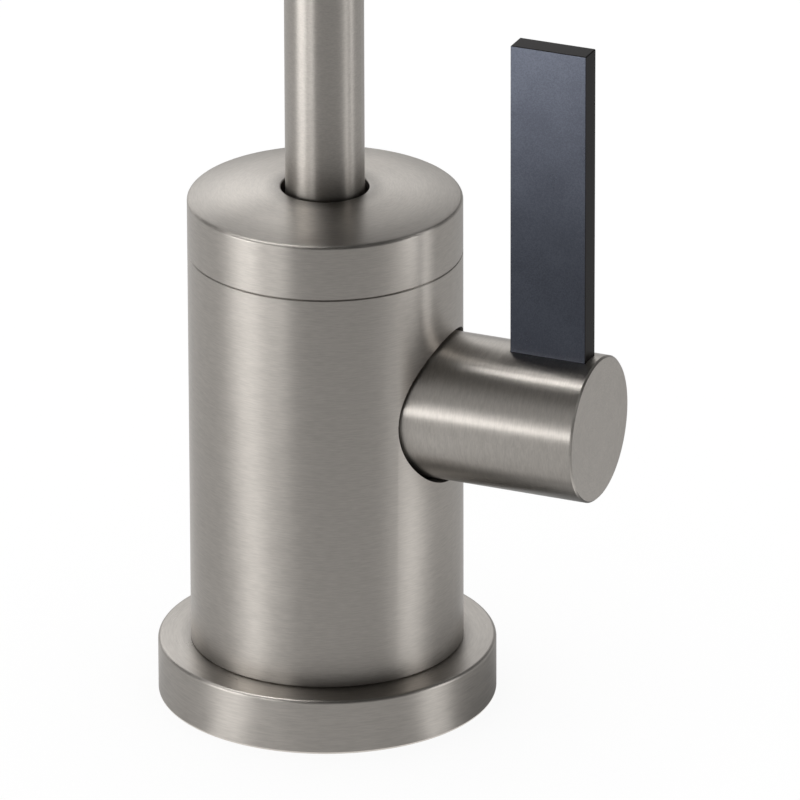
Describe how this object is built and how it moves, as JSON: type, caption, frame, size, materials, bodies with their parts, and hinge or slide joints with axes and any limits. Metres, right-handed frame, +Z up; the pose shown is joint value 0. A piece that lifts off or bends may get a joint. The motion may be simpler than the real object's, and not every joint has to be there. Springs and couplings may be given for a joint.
{
  "type": "gooseneck bar faucet",
  "caption": "Gooseneck bar faucet: a swivelling bent spout on a round body, a flat side lever that turns a ceramic disc valve, and a threaded shank with its deck nut.",
  "frame": {"origin": "centre of the flange's underside, on the body's axis, in the plane of the deck", "axes": "+Z up along the body and the spout's swivel axis; +X along the handle's axis, out towards the lever; -Y towards the user, where the spout reaches at rest"},
  "size_m": [0.0747, 0.1506, 0.3543],
  "materials": {
    "nickel": "warm brushed nickel over brass, fine brushing round each turned piece",
    "black_coat": "satin blue-black coating with a very fine grain",
    "brass": "plain machined brass",
    "steel": "plain stainless steel",
    "rubber": "black moulded rubber",
    "ceramic": "lapped alumina ceramic",
    "white_plastic": "moulded acetal",
    "blue_plastic": "moulded acetal"
  },
  "bodies": {
    "base": {"base_flange": "nickel", "deck_gasket": "rubber", "body_shell": "nickel", "valve_block": "brass", "top_cap": "nickel", "cap_seal": "rubber", "lower_glide_ring": "white_plastic", "upper_glide_ring": "white_plastic", "shank": "brass", "shank_seal": "rubber", "cartridge_body": "brass", "cartridge_seal": "rubber", "seat_seal": "rubber", "fixed_disc": "ceramic", "hub_guide_ring": "white_plastic"},
    "handle": {"moving_disc": "ceramic", "stem": "brass", "stem_seals": "rubber", "stem_clip": "steel", "handle_hub": "nickel", "hub_set_screw": "steel", "lever_blade": "black_coat", "blade_screws": "steel"},
    "spout": {"spout_tube": "nickel", "spout_ferrule": "brass", "spout_seals": "rubber", "outlet_collar": "nickel", "aerator_housing": "white_plastic", "aerator_flow_disc": "blue_plastic", "aerator_screen": "white_plastic", "aerator_seal": "rubber"},
    "deck_hardware": {"rubber_washer": "rubber", "steel_washer": "steel", "mounting_nut": "brass"}
  },
  "joints": [
    {"name": "handle_turn", "type": "hinge", "parent": "base", "child": "handle", "pos_m": [0, 0, 0.0527], "axis": [1, 0, 0], "range_deg": [0, 90]},
    {"name": "spout_swivel", "type": "hinge", "parent": "base", "child": "spout", "pos_m": [0, 0, 0], "axis": [0, 0, 1], "continuous": true},
    {"name": "nut_travel", "type": "slide", "parent": "base", "child": "deck_hardware", "axis": [0, 0, 1], "range_m": [-0.022, 0.017]}
  ]
}
